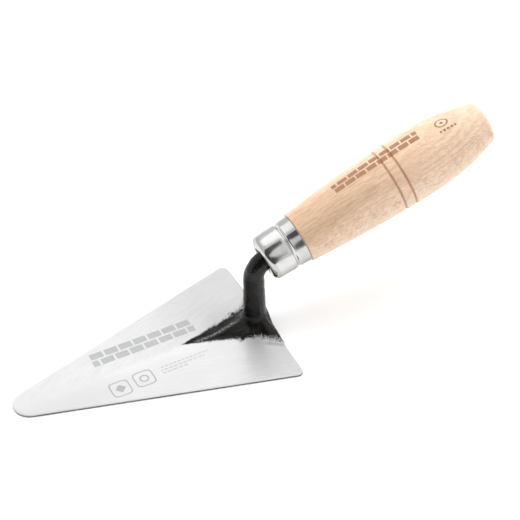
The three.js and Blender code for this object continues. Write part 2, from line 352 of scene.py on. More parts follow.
def neck_stations():
    """Centre and lean of the bar, from inside the blade to the end of the bend."""
    turn = math.pi / 2 - HANDLE_LIFT
    corner_z = HANDLE_ORIGIN.z - HANDLE_ORIGIN.x * math.tan(HANDLE_LIFT)
    start_z = corner_z - NECK_BEND_RADIUS * math.tan(turn / 2)
    straight_steps = 60
    bend_steps = 44
    stations = []
    for step in range(straight_steps):
        z = lerp(NECK_START, start_z, step / straight_steps)
        stations.append((Vector((0, 0, z)), 0))
    for step in range(bend_steps + 1):
        angle = turn * step / bend_steps
        x = NECK_BEND_RADIUS * (1 - math.cos(angle))
        z = start_z + NECK_BEND_RADIUS * math.sin(angle)
        stations.append((Vector((x, 0, z)), angle))
    return stations


BAR_SIDES = 96
NECK_ROUGHNESS = 0.35
TANG_ROUGHNESS = 0.1


def bar_ring(centre, lean, half, square, roughness):
    """A ring round the bar: square is 0 for a round section and 1 for a square one."""
    outward = Vector((math.cos(lean), 0, -math.sin(lean)))
    sideways = Vector((0, 1, 0))
    ring = []
    for step in range(BAR_SIDES):
        angle = 2 * math.pi * step / BAR_SIDES
        flat = max(abs(math.cos(angle)), abs(math.sin(angle)))
        direction = outward * math.cos(angle) + sideways * math.sin(angle)
        reach = half / lerp(1, flat, square)
        spot = centre + direction * reach
        swell = noise.fractal(spot * 0.16, 1, 2, 3) * 0.55
        dent = noise.noise(spot * 0.9) * 0.16
        ring.append(spot + direction * (swell + dent) * roughness)
    return ring


def tang_rings(start, end, halves, squares, steps):
    """Rings along the handle's axis, from one half width and squareness to another."""
    rings = []
    for step in range(1, steps + 1):
        share = step / steps
        centre = HANDLE_ORIGIN + HANDLE_AXIS * lerp(start, end, share)
        lean = math.pi / 2 - HANDLE_LIFT
        rings.append(bar_ring(centre, lean, lerp(*halves, share), lerp(*squares, share), TANG_ROUGHNESS))
    return rings


def build_bar(points, faces):
    """Adds the neck's round bar and the square tang."""
    stations = neck_stations()
    bend_end = stations[-1][0]
    rings = []
    for centre, lean in stations:
        half = lerp(NECK_FOOT_RADIUS, NECK_TOP_RADIUS, centre.z / bend_end.z)
        rings.append(bar_ring(centre, lean, half, 0, NECK_ROUGHNESS))
    tang_start = (bend_end - HANDLE_ORIGIN).dot(HANDLE_AXIS)
    shoulder_end = tang_start + TANG_SHOULDER
    rings += tang_rings(tang_start, shoulder_end, (NECK_TOP_RADIUS, TANG_HALF), (0, 1), 8)
    rings += tang_rings(shoulder_end, TANG_LENGTH, (TANG_HALF, TANG_TIP_HALF), (1, 1), 12)
    add_capped_stack(points, faces, rings)


def add_capped_stack(points, faces, rings):
    """Adds a closed body through rings, with a fan over each end."""
    first = len(points)
    count = len(rings[0])
    for ring in rings:
        points.extend(ring)
    faces.extend(stack_faces(len(rings), count, first))
    last = first + (len(rings) - 1) * count
    start_centre = len(points)
    for ring in (rings[0], rings[-1]):
        points.append(sum((Vector(p) for p in ring), Vector()) / count)
    for side in range(count):
        following = (side + 1) % count
        faces.append((start_centre, first + following, first + side))
        faces.append((start_centre + 1, last + side, last + following))


def dart_reach(from_tip, reach, taper):
    """Distance to the side of a dart that points at the tip."""
    slope = math.tan(taper)
    return reach * slope / (math.sin(from_tip) + abs(math.cos(from_tip)) * slope)


def root_reach(direction):
    """How far the forging spreads; direction 0 points to the heel and pi to the tip."""
    from_heel = abs(direction)
    dart = dart_reach(math.pi - from_heel, RIB_REACH, RIB_TAPER)
    corner = math.atan2(HEEL_SPREAD, HEEL_X)
    past_root = math.hypot(HEEL_SPREAD, HEEL_X) - ROOT_SPREAD
    return max(ROOT_SPREAD, dart) + past_root * bell(from_heel - corner, HEEL_SPREAD_ANGLE)


def heel_limit(direction):
    """Distance to just past the heel; without limit away from the heel."""
    if abs(direction) >= math.radians(86):
        return math.inf
    return (HEEL_X + HEEL_OVERHANG) / math.cos(direction)


def root_surface(direction, radius):
    """Height of the forging's spread without the lacquer."""
    rib = bell(math.pi - abs(direction), RIB_FADE)
    top = lerp(ROOT_HEIGHT, RIB_HEIGHT, rib)
    hollow = lerp(ROOT_HOLLOW, RIB_HOLLOW, rib)
    inner = NECK_FOOT_RADIUS - 0.4
    reach = root_reach(direction)
    share = clamp((radius - inner) / (reach - inner))
    skirt = lerp(ROOT_BOTTOM, top, 1 - share ** (1 / hollow))
    fillet = ROOT_FILLET * math.exp(-(radius - inner) / ROOT_FILLET_RUN)
    return skirt + fillet


def coat_reach(direction):
    """Mean reach of the black coat, which differs a little between the sides."""
    side = "left" if direction > 0 else "right"
    from_tip = math.pi - abs(direction)
    off_tip = abs(from_tip - COAT_TIP_TURN) if side == "left" else from_tip + COAT_TIP_TURN
    dart = dart_reach(off_tip, COAT_RIB_REACH, COAT_RIB_TAPERS[side])
    corner = math.atan2(HEEL_SPREAD, HEEL_X)
    heel_part = COAT_HEEL_SPREAD * bell(abs(direction) - corner, COAT_HEEL_ANGLE)
    lobes = sum(height * bell(direction - place, width) for height, place, width in COAT_LOBES)
    return max(COAT_SKIRTS[side], dart) + heel_part + lobes


def build_root(points, faces):
    """Adds the spread of the forging round the neck with its ragged black coat."""
    directions = spoke_directions()
    inner = NECK_FOOT_RADIUS - 1.2
    margin = 2.4
    radial_steps = 130
    rings = []
    for step in range(radial_steps + 1):
        share = step / radial_steps
        ring = []
        for direction in directions:
            coat = coat_reach(direction)
            outer = min(max(coat, root_reach(direction)) + margin, heel_limit(direction))
            radius = lerp(inner, outer, share)
            x = radius * math.cos(direction)
            y = radius * math.sin(direction)
            steel = max(root_surface(direction, radius), blade_surface(x, y) if x < HEEL_X else 0)
            ring.append((x, y, steel + coat_height(x, y, radius, coat)))
        rings.append(ring)
    rings.append([(x, y, ROOT_BOTTOM) for x, y, _ in rings[-1]])
    rings.reverse()
    add_capped_stack(points, faces, rings)


def spoke_directions():
    """Directions of the spokes, from -pi to pi, closer together towards the blade's tip."""
    count = 420
    directions = []
    for step in range(count):
        even = -1 + 2 * step / count
        bunched = math.copysign(1 - (1 - abs(even)) ** 1.5, even)
        directions.append(bunched * math.pi)
    return directions


def rib_folds(x, y):
    """Forge folds that run along the rib and fade out at the neck."""
    wide = noise.noise(Vector((x * 0.10, y * 0.85, 7)))
    narrow = noise.noise(Vector((x * 0.2, y * 1.7, 3)))
    return (wide + 0.5 * narrow) * 0.42 * smoothstep(-x, 4, 13)


def coat_height(x, y, radius, coat):
    """Thickness of the coat over the steel; below zero, the ground steel shows."""
    spot = Vector((x, y, 0))
    lumps = noise.noise(spot * 0.45) * 0.22 + noise.noise(spot * 1.2) * 0.10
    lumps += rib_folds(x, y)
    skin = clamp((coat - radius) * 0.12, -0.35, 0.10)
    return skin + lumps * clamp(coat - radius, 0, 1)


def coat_inside(x, y):
    """How far a place on the blade lies inside the edge of the black coat."""
    depth = coat_reach(math.atan2(y, x)) - math.hypot(x, y)
    return clamp(depth, -COAT_DEEPEST, COAT_DEEPEST)


def build_neck():
    """The root, neck and tang as one piece."""
    points = []
    faces = []
    build_root(points, faces)
    root_count = len(points)
    build_bar(points, faces)
    neck = add_mesh("neck_and_tang", points, faces)
    depths = [coat_inside(x, y) for x, y, _ in points[:root_count]]
    add_number(neck, "coat", depths + [COAT_DEEPEST] * (len(points) - root_count))
    return neck


# ---- Ferrule ----

FERRULE_RADIUS = 12.55
FERRULE_WALL = 0.9
FERRULE_NOSE = 3
FERRULE_LIP = 5.6
FERRULE_FLARE = 0.32
FERRULE_DRAFT = 0.24
FERRULE_SHOULDER = 0.1
FERRULE_SHOULDER_RUN = 1.7
FERRULE_CROWN_AT = 11.6
BEAD_AT = 14
BEAD_HALF = 1.5
BEAD_DEPTH = 0.75
TURNING_STEPS = 192


def bead_dip(along):
    share = clamp((along - BEAD_AT) / BEAD_HALF, -1, 1)
    return BEAD_DEPTH * (0.5 + 0.5 * math.cos(math.pi * share)) ** 1.4


def ferrule_radius(along):
    """Outer radius: slightly narrower to the nose, and flared behind the groove."""
    draft = clamp((FERRULE_CROWN_AT - along) / (FERRULE_CROWN_AT - FERRULE_NOSE))
    flare = clamp((along - BEAD_AT - BEAD_HALF) / (FERRULE_LENGTH - BEAD_AT - BEAD_HALF))
    drop = FERRULE_DRAFT * draft**1.08
    drop += FERRULE_SHOULDER * math.exp(-(along - FERRULE_NOSE) / FERRULE_SHOULDER_RUN)
    return FERRULE_RADIUS - drop + FERRULE_FLARE * flare**1.15 - bead_dip(along)


def build_ferrule():
    """The drawn shell, with an open mouth for the neck."""
    nose_steps = 20
    wall_steps = 130
    nose_radius = ferrule_radius(FERRULE_NOSE)
    outer = rounded_edge(nose_radius, 0, FERRULE_NOSE, nose_steps)[:-1]
    for step in range(wall_steps + 1):
        along = lerp(FERRULE_NOSE, FERRULE_LENGTH - 0.2, step / wall_steps)
        outer.append((ferrule_radius(along), along))
    inner = [(radius - FERRULE_WALL, along) for radius, along in reversed(outer[nose_steps + 1:])]
    inner_rounding = FERRULE_NOSE - FERRULE_WALL
    inner += reversed(rounded_edge(nose_radius - FERRULE_WALL, FERRULE_WALL, inner_rounding, nose_steps))
    rear = ferrule_radius(FERRULE_LENGTH)
    outer += [(rear - 0.06, FERRULE_LENGTH - 0.05), (rear - 0.2, FERRULE_LENGTH)]
    mouth = FERRULE_RADIUS - FERRULE_LIP
    lip = [(mouth + 0.25, FERRULE_WALL), (mouth, FERRULE_WALL - 0.25), (mouth, 0.3), (mouth + 0.3, 0)]
    points, faces = closed_turned(outer + inner + lip, TURNING_STEPS)
    return add_mesh("ferrule_shell", on_handle(points), faces)


# ---- Handle ----

GRIP_START = FERRULE_LENGTH + 0.1
SHOULDER_RADIUS = 13.7
SHOULDER_ROUNDING = 0.3
BELLY_RADIUS = 17.45
BELLY_AT = 87
BUTT_RADIUS = 11.6
BUTT_ROUNDING = 4.6
SWELL_POWER = 1.55
TAPER_POWER = 2.6
DOME_POWER = 2.5
GROOVES_AT = (75.4, 81.5)
GROOVE_HALF = 0.75
GROOVE_DEPTH = 0.7
TENON_RADIUS = 11.35
TENON_FRONT = 1.2
TENON_CHAMFER = 2.5
WOOD_SIDES = 144
DOME_START = HANDLE_LENGTH - BUTT_ROUNDING


def grip_radius(along):
    """Radius of the grip: a swell to the belly, a taper to the butt and a round end."""
    if along < BELLY_AT:
        share = (BELLY_AT - along) / (BELLY_AT - GRIP_START)
        return BELLY_RADIUS - (BELLY_RADIUS - SHOULDER_RADIUS) * share**SWELL_POWER
    if along < DOME_START:
        share = (along - BELLY_AT) / (DOME_START - BELLY_AT)
        return lerp(BELLY_RADIUS, BUTT_RADIUS, share**TAPER_POWER)
    share = clamp((along - DOME_START) / BUTT_ROUNDING)
    return BUTT_RADIUS * (1 - share**DOME_POWER) ** (1 / DOME_POWER)


def groove_dip(along):
    distance = min(abs(along - place) for place in GROOVES_AT)
    if distance >= GROOVE_HALF:
        return 0
    return GROOVE_DEPTH * math.cos(math.pi / 2 * distance / GROOVE_HALF) ** 0.8


def tenon_profile():
    """The tenon inside the ferrule, with the dip that the ferrule's groove is rolled into."""
    chamfer_end = TENON_FRONT + TENON_CHAMFER
    profile = [(0, TENON_FRONT), (TENON_RADIUS - TENON_CHAMFER, TENON_FRONT), (TENON_RADIUS, chamfer_end)]
    steps = 40
    for step in range(steps + 1):
        along = lerp(chamfer_end + 0.2, GRIP_START - 0.05, step / steps)
        profile.append((TENON_RADIUS - bead_dip(along), along))
    profile.append((TENON_RADIUS, GRIP_START))
    return profile


def grip_profile():
    """The grip from its shoulder to the butt, with its two turned grooves."""
    grip_steps = 360
    dome_steps = 40
    shoulder_end = GRIP_START + SHOULDER_ROUNDING
    profile = rounded_edge(grip_radius(shoulder_end), GRIP_START, SHOULDER_ROUNDING, 5)
    for step in range(1, grip_steps):
        along = lerp(shoulder_end, DOME_START, step / grip_steps)
        profile.append((grip_radius(along) - groove_dip(along), along))
    for step in range(dome_steps):
        along = DOME_START + BUTT_ROUNDING * math.sin(math.pi / 2 * step / dome_steps)
        profile.append((grip_radius(along), along))
    profile.append((0, HANDLE_LENGTH))
    return profile


def build_handle():
    points, faces = turned(tenon_profile() + grip_profile(), WOOD_SIDES)
    return add_mesh("handle_wood", on_handle(points), faces)


# ---- Nodes ----


class Nodes:
    """Short names for building the nodes of a material or the world."""

    def __init__(self, owner, shader="Principled BSDF"):
        owner.use_nodes = True
        self.owner = owner
        self.tree = owner.node_tree
        self.shader = self.tree.nodes[shader]

    def add(self, kind, **settings):
        node = self.tree.nodes.new(kind)
        for key, value in settings.items():
            setattr(node, key, value)
        return node

    def link(self, source, target):
        self.tree.links.new(source, target)

    def put(self, value, socket):
        """Links an output to a socket, or sets a number or a colour on it."""
        if isinstance(value, bpy.types.NodeSocket):
            self.link(value, socket)
        else:
            socket.default_value = value

    def feed(self, node, **inputs):
        """Puts values in a node's inputs by name, with _ for a space."""
        for key, value in inputs.items():
            self.put(value, node.inputs[key.replace("_", " ")])

    def shade(self, **inputs):
        """The same for the shader that the owner is drawn with."""
        self.feed(self.shader, **inputs)

    def math(self, operation, *values):
        node = self.add("ShaderNodeMath", operation=operation)
        for slot, value in enumerate(values):
            self.put(value, node.inputs[slot])
        return node.outputs[0]

    def times(self, first, second):
        return self.math("MULTIPLY", first, second)

    def plus(self, first, second):
        return self.math("ADD", first, second)

    def minus(self, first, second):
        return self.math("SUBTRACT", first, second)

    def most(self, first, second):
        return self.math("MAXIMUM", first, second)

    def vector(self, operation, where, numbers):
        """A vector operation between a place and a constant."""
        node = self.add("ShaderNodeVectorMath", operation=operation)
        self.link(where, node.inputs[0])
        node.inputs[1].default_value = numbers
        return node.outputs

    def position(self, turn_back=False):
        """Position in millimetres, in the tool's frame or in the handle's own."""
        where = self.add("ShaderNodeTexCoord").outputs["Object"]
        scaled = self.add("ShaderNodeVectorMath", operation="SCALE")
        self.feed(scaled, Vector=where, Scale=1 / MM)
        where = scaled.outputs[0]
        if turn_back:
            shifted = self.vector("SUBTRACT", where, HANDLE_ORIGIN)[0]
            turned_back = self.add("ShaderNodeVectorRotate", rotation_type="Y_AXIS")
            self.feed(turned_back, Vector=shifted, Angle=HANDLE_LIFT)
            where = turned_back.outputs[0]
        return where

    def stretched(self, where, x, y, z):
        return self.vector("MULTIPLY", where, (x, y, z))[0]

    def noise(self, where, scale=1, detail=3, roughness=0.55, distortion=0):
        node = self.add("ShaderNodeTexNoise")
        self.feed(node, Vector=where, Scale=scale, Detail=detail)
        self.feed(node, Roughness=roughness, Distortion=distortion)
        return node.outputs["Fac"]

    def split(self, where):
        node = self.add("ShaderNodeSeparateXYZ")
        self.link(where, node.inputs[0])
        return node.outputs

    def moved(self, where, x, y, z):
        return self.vector("ADD", where, (x, y, z))[0]

    def blend(self, factor, first, second):
        """A number between two numbers."""
        node = self.add("ShaderNodeMix", data_type="FLOAT")
        for slot, value in ((0, factor), (2, first), (3, second)):
            self.link(value, node.inputs[slot])
        return node.outputs[0]

    def ramp(self, value, low, high, to_low=0, to_high=1):
        """A smooth step from one number to another."""
        node = self.add("ShaderNodeMapRange", interpolation_type="SMOOTHSTEP")
        self.feed(node, Value=value, From_Min=low, From_Max=high, To_Min=to_low, To_Max=to_high)
        return node.outputs["Result"]

    def mix(self, factor, first, second):
        """A colour between two colours."""
        node = self.add("ShaderNodeMix", data_type="RGBA")
        self.link(factor, node.inputs[0])
        for slot, colour in ((6, first), (7, second)):
            self.put((*colour, 1) if isinstance(colour, tuple) else colour, node.inputs[slot])
        return node.outputs[2]

    def layers(self, tone, *covers):
        """A colour with others laid over it, each through its own mask."""
        for mask, colour in covers:
            tone = self.mix(mask, tone, colour)
        return tone

    def bump(self, height):
        """A normal bent by a relief given in millimetres."""
        node = self.add("ShaderNodeBump")
        self.feed(node, Height=height, Strength=1, Distance=MM)
        return node.outputs["Normal"]


def new_material(name):
    return Nodes(bpy.data.materials.new(name))


# ---- Marks; every one is generic, and none is lettering ----

SIGN_CENTRES = ((-81.4, -12), (-67.9, -11))
SIGN_HALF = 5
SIGN_LINE = 0.7
BAND_LOW = (-86.4, 7.4)
BAND_HIGH = (-29.6, 18)
PRINT_LEFT = -58
PRINT_TOP = -7.6
PRINT_PITCH = 2.1
PRINT_HEIGHT = 0.9
PRINT_LENGTHS = (27, 24, 14)
BRAND_AROUND = 0.6
BRAND_HALF = 3.8
BRAND_START = 47.6
BRAND_END = 98.8
BUTT_RING_AT = 112
BUTT_DASHES = (108.5, 118)
NO_ROWS = 40


def edge_mask(nodes, value, low, high, soft=0.04):
    """1 between two values, 0 outside."""
    rise = nodes.ramp(value, low - soft, low + soft)
    fall = nodes.ramp(value, high - soft, high + soft, 1, 0)
    return nodes.times(rise, fall)


def window(nodes, x, y, low, high):
    return nodes.times(edge_mask(nodes, x, low[0], high[0]), edge_mask(nodes, y, low[1], high[1]))


def bricks(nodes, where, width, height, gap):
    """1 on the bricks of a running bond and 0 in its joints."""
    node = nodes.add("ShaderNodeTexBrick", offset=0.5, offset_frequency=2, squash=1)
    nodes.feed(node, Vector=where, Scale=1, Mortar_Size=gap / 2, Mortar_Smooth=0, Brick_Width=width)
    nodes.feed(node, Row_Height=height)
    return nodes.minus(1, node.outputs["Fac"])


def away(nodes, value, centre):
    return nodes.math("ABSOLUTE", nodes.minus(value, centre))


def rounded_square(nodes, across, up, half, line):
    """A square frame with round corners, from the distances to its centre."""
    power = 5
    total = nodes.plus(nodes.math("POWER", across, power), nodes.math("POWER", up, power))
    return nodes.math("COMPARE", nodes.math("POWER", total, 1 / power), half, line / 2)


def ring(nodes, across, up, radius, line):
    total = nodes.plus(nodes.math("POWER", across, 2), nodes.math("POWER", up, 2))
    return nodes.math("COMPARE", nodes.math("SQRT", total), radius, line / 2)


def blade_signs(nodes, x, y):
    """Two rounded squares, the first with a diamond in it and the second with a ring."""
    marks = 0
    for number, centre in enumerate(SIGN_CENTRES):
        across = away(nodes, x, centre[0])
        up = away(nodes, y, centre[1])
        outline = rounded_square(nodes, across, up, SIGN_HALF, SIGN_LINE)
        if number:
            sign = ring(nodes, across, up, 2.1, 0.9)
        else:
            sign = nodes.math("LESS_THAN", nodes.plus(across, up), 2.9)
        marks = nodes.most(marks, nodes.most(outline, sign))
    return marks


def dash_rows(nodes, where, x, y):
    """Three rows of dashes that end at different places."""
    marks = 0
    for row, length in enumerate(PRINT_LENGTHS):
        top = PRINT_TOP - PRINT_PITCH * row
        place = window(nodes, x, y, (PRINT_LEFT, top - PRINT_HEIGHT), (PRINT_LEFT + length, top))
        dashes = bricks(nodes, where, 2.3 + 0.4 * row, NO_ROWS, 0.6)
        marks = nodes.most(marks, nodes.times(place, dashes))
    return marks


def etched_marks(nodes, where, x, y):
    """A band of brickwork, two small signs and three fainter rows of dashes."""
    shifted = nodes.moved(where, -BAND_LOW[0], -BAND_LOW[1], 0)
    brickwork = bricks(nodes, shifted, 8.1, 5.3, 1.1)
    band = nodes.times(window(nodes, x, y, BAND_LOW, BAND_HIGH), brickwork)
    rows = nodes.times(dash_rows(nodes, where, x, y), 0.6)
    return nodes.most(nodes.most(band, blade_signs(nodes, x, y)), rows)


# ---- Steel and lacquer; colours are linear red, green and blue ----

GRIND_LEAN = math.radians(20)
GRIND_TURN = 4
GRIND_ALONG = 0.035
GRIND_ACROSS = 1.3
GRIND_SIDES = 0.2
BRUSHING = 0.85
# Place and lean of the painted shade in the dressing hollow near the heel.
HOLLOW_SHADE_X = 1.1
HOLLOW_SHADE_Y = -20
HOLLOW_SHADE_COS = 0.79
HOLLOW_SHADE_SIN = 0.61

STEEL_TONES = ((0.82, 0.82, 0.825), (0.91, 0.91, 0.91))
STEEL_CLOUD = (0.77, 0.772, 0.78)
STEEL_PAINTED_SHADE = (0.68, 0.68, 0.69)
STEEL_SCRATCH = (0.62, 0.62, 0.63)
STEEL_TIP_PAINTED_SHADE = (0.74, 0.74, 0.745)
STEEL_ETCHED = (0.58, 0.585, 0.59)
STEEL_HOLLOW_SHADE = (0.42, 0.43, 0.45)
EDGE_TONES = ((0.035, 0.038, 0.042), (0.20, 0.21, 0.23))

LACQUER_TONES = ((0.0012, 0.0011, 0.0007), (0.008, 0.0074, 0.0056))
LACQUER_BROWN = (0.012, 0.0060, 0.0026)
LACQUER_WORN = (0.42, 0.40, 0.37)
LACQUER_THICKNESS = 0.12
# (scale, detail, swing in millimetres) of what makes the coat's edge ragged.
COAT_WANDERS = ((0.30, 3, 7), (1.7, 4, 9), (4.5, 3, 8))


def heel_hollow_shade(nodes, x, y):
    """Painted shade in the shallow dressing hollow between the root and the near heel corner."""
    right = nodes.minus(x, HOLLOW_SHADE_X)
    up = nodes.minus(y, HOLLOW_SHADE_Y)
    along = nodes.minus(nodes.times(right, HOLLOW_SHADE_COS), nodes.times(up, HOLLOW_SHADE_SIN))
    across = nodes.plus(nodes.times(right, HOLLOW_SHADE_SIN), nodes.times(up, HOLLOW_SHADE_COS))
    return nodes.times(edge_mask(nodes, along, -4.5, 5.5, 2), edge_mask(nodes, across, -0.9, 0.9, 1.2))


def grind_lines(nodes, x, y):
    """A noise that is drawn out along the grinding, which runs nearly along each edge."""
    aside = nodes.math("SQRT", nodes.math("MULTIPLY_ADD", y, y, GRIND_TURN**2))
    lean_cos = math.cos(GRIND_LEAN)
    lean_sin = math.sin(GRIND_LEAN)
    along = nodes.plus(nodes.times(x, lean_cos), nodes.times(aside, lean_sin))
    across = nodes.minus(nodes.times(aside, lean_cos), nodes.times(x, lean_sin))
    place = nodes.add("ShaderNodeCombineXYZ")
    nodes.feed(place, X=nodes.times(along, GRIND_ALONG), Y=nodes.times(across, GRIND_ACROSS))
    nodes.feed(place, Z=nodes.times(y, GRIND_SIDES))
    return nodes.noise(place.outputs[0], detail=7, roughness=0.75)


def steel_tone(nodes, where, lines):
    """Lines, clouds, and painted shade that greys the far side and the tip."""
    x, y, _ = nodes.split(where)
    cloud = nodes.noise(nodes.stretched(where, 0.03, 0.08, 1), detail=4)
    far_side = nodes.ramp(nodes.plus(y, nodes.times(lines, 3)), 0, 4.5)
    # Painted shade greys the far side, more strongly towards the heel.
    shade = nodes.times(far_side, nodes.ramp(x, -100, -45))
    shade = nodes.times(shade, nodes.ramp(x, -50, -10, 0.42, 1))
    scratches = nodes.times(nodes.ramp(lines, 0.42, 0.62), far_side)
    return nodes.layers(
        nodes.mix(nodes.ramp(lines, 0.3, 0.7), *STEEL_TONES),
        (nodes.ramp(cloud, 0.35, 0.75, 0, 0.4), STEEL_CLOUD),
        (shade, STEEL_PAINTED_SHADE),
        (nodes.times(scratches, 0.4), STEEL_SCRATCH),
        # Painted shade greys the tip.
        (nodes.ramp(x, -60, -112, 0, 0.6), STEEL_TIP_PAINTED_SHADE),
    )


def steel_look(nodes):
    """Colour, roughness and relief in millimetres of the ground steel."""
    where = nodes.position()
    x, y, _ = nodes.split(where)
    lines = grind_lines(nodes, x, y)
    marks = etched_marks(nodes, where, x, y)
    tone = nodes.mix(nodes.times(marks, 0.85), steel_tone(nodes, where, lines), STEEL_ETCHED)
    # Painted shade darkens the dressing hollow near the heel.
    tone = nodes.mix(nodes.times(heel_hollow_shade(nodes, x, y), 0.8), tone, STEEL_HOLLOW_SHADE)
    rough = nodes.plus(nodes.ramp(lines, 0.3, 0.7, 0.52, 0.62), nodes.times(marks, 0.12))
    relief = nodes.minus(nodes.times(lines, 0.006), nodes.times(marks, 0.004))
    return tone, rough, relief


def worn_lacquer(nodes, where):
    """Pale specks: close together on the ridge of the rib, and a few anywhere."""
    x, y, _ = nodes.split(where)
    ridge = nodes.times(edge_mask(nodes, y, -0.75, 0.75, 0.5), edge_mask(nodes, x, -34, -10, 3))
    specks = nodes.ramp(nodes.noise(where, 1.9, detail=4, roughness=0.7), 0.48, 0.54)
    dust = nodes.ramp(nodes.noise(where, 3.6, roughness=0.6), 0.68, 0.74)
    return nodes.most(nodes.times(ridge, specks), nodes.times(dust, 0.5))


def lacquer_relief(nodes, where, grain):
    """Grain and swells, and the forge's folds on the rib."""
    swells = nodes.noise(where, 0.35)
    folds = nodes.noise(nodes.stretched(where, 0.07, 0.9, 0.3), roughness=0.6)
    on_rib = nodes.ramp(nodes.split(where)[0], -4, -12)
    relief = nodes.plus(nodes.times(grain, 0.09), nodes.times(swells, 0.15))
    return nodes.plus(relief, nodes.times(nodes.times(folds, on_rib), 2.2))


def lacquer_look(nodes):
    """Colour, roughness and relief in millimetres of the black lacquer over forge scale."""
    where = nodes.position()
    grain = nodes.noise(where, 1.5, detail=5, roughness=0.7)
    cloud = nodes.noise(where, 0.09, detail=2)
    tone = nodes.mix(nodes.ramp(grain, 0.45, 0.75), *LACQUER_TONES)
    tone = nodes.mix(nodes.ramp(cloud, 0.45, 0.65, 0, 0.7), tone, LACQUER_BROWN)
    tone = nodes.mix(nodes.times(worn_lacquer(nodes, where), 0.8), tone, LACQUER_WORN)
    rough = nodes.ramp(grain, 0.35, 0.75, 0.14, 0.34)
    return tone, rough, lacquer_relief(nodes, where, grain)


def coat_mask(nodes, where):
    """1 on the black coat and 0 on bare steel, with a ragged edge."""
    inside = nodes.add("ShaderNodeAttribute", attribute_name="coat").outputs["Fac"]
    for scale, detail, swing in COAT_WANDERS:
        wander = nodes.minus(nodes.noise(where, scale, detail=detail, roughness=0.7), 0.5)
        inside = nodes.plus(inside, nodes.times(wander, swing))
    powder = nodes.minus(nodes.noise(where, 1.9, roughness=0.7), 0.5)
    at_heel = nodes.ramp(nodes.split(where)[0], -6, 2, 2, 26)
    inside = nodes.plus(inside, nodes.times(powder, at_heel))
    return nodes.ramp(inside, -0.15, 0.15)


def coated_steel(name, brushed_all_over):
    """Ground steel where the black coat is absent, and lacquer where it is."""
    nodes = new_material(name)
    coat = coat_mask(nodes, nodes.position())
    bare = nodes.minus(1, coat)
    steel_colour, steel_rough, steel_relief = steel_look(nodes)
    black_colour, black_rough, black_relief = lacquer_look(nodes)
    relief = nodes.blend(coat, steel_relief, nodes.plus(black_relief, LACQUER_THICKNESS))
    brushing = BRUSHING if brushed_all_over else nodes.times(bare, BRUSHING)
    nodes.shade(Base_Color=nodes.mix(coat, steel_colour, black_colour), Metallic=bare)
    nodes.shade(Roughness=nodes.blend(coat, steel_rough, black_rough))
    nodes.shade(Specular_IOR_Level=0.33, Anisotropic=brushing, Normal=nodes.bump(relief))
    nodes.shade(Coat_Weight=nodes.times(bare, 0.35), Coat_Roughness=0.18, Coat_IOR=2.4)
    tangent = nodes.add("ShaderNodeTangent", direction_type="UV_MAP", uv_map="across")
    nodes.shade(Tangent=tangent.outputs[0])
    return nodes.owner


def edge_steel():
    """The blade's sheared edge, darker than its face and streaked along its length."""
    nodes = new_material("edge_steel")
    streaks = nodes.noise(nodes.stretched(nodes.position(), 0.08, 0.08, 3), detail=5)
    tone = nodes.mix(nodes.ramp(streaks, 0.3, 0.7), *EDGE_TONES)
    rough = nodes.ramp(streaks, 0.3, 0.7, 0.35, 0.5)
    nodes.shade(Base_Color=tone, Roughness=rough, Metallic=0.9)
    nodes.shade(Normal=nodes.bump(nodes.times(streaks, 0.02)))
    return nodes.owner


# ---- Plating ----

PLATING_TONES = ((0.57, 0.57, 0.56), (0.63, 0.63, 0.62))
PLATING_PAINTED_SHADE = (0.42, 0.42, 0.41)
PLATING_TINT = (0.72, 0.72, 0.71)


def plated():
    """Bright plating with faint turned lines, and painted shade that darkens the drawn nose and the part
    behind the groove.
    """
    nodes = new_material("plated_ferrule")
    where = nodes.position(turn_back=True)
    along = nodes.split(where)[0]
    lines = nodes.noise(nodes.stretched(where, 3, 0.25, 0.25), detail=4)
    cloud = nodes.noise(where, 0.22)
    # Painted shade on the drawn nose and behind the groove.
    shaded_nose = nodes.times(edge_mask(nodes, along, 0.9, 3.6, 0.5), 0.6)
    shaded_rear = nodes.ramp(along, BEAD_AT + 1, BEAD_AT + 2.5, 0, 0.35)
    tone = nodes.mix(nodes.ramp(cloud, 0.3, 0.7), *PLATING_TONES)
    tone = nodes.layers(tone, (shaded_nose, PLATING_PAINTED_SHADE), (shaded_rear, PLATING_PAINTED_SHADE))
    rough = nodes.ramp(lines, 0.3, 0.7, 0.07, 0.13)
    nodes.shade(Base_Color=tone, Roughness=rough, Metallic=1, Specular_Tint=(*PLATING_TINT, 1))
    nodes.shade(Normal=nodes.bump(nodes.times(lines, 0.004)))
    return nodes.owner


# ---- Beech ----

PITH_Y = -6
PITH_Z = -46
RING_PITCH = 1.7
BEECH_TONES = ((0.87, 0.645, 0.475), (0.79, 0.555, 0.395))
BEECH_RING_END = (0.66, 0.44, 0.295)
BEECH_DRIFT = (0.74, 0.485, 0.325)
BEECH_HEART = (0.60, 0.415, 0.275)
BEECH_PAINTED_LIGHT = (0.94, 0.76, 0.60)
BEECH_STREAK = (0.50, 0.31, 0.18)
BEECH_FIBRE = (0.66, 0.405, 0.25)
BEECH_SCALE = (0.64, 0.41, 0.26)
BEECH_PATCH = (0.96, 0.78, 0.61)
BEECH_RAY = (0.50, 0.27, 0.145)
BEECH_GROOVE = (0.42, 0.20, 0.085)
BEECH_BURNED = (0.30, 0.135, 0.06)


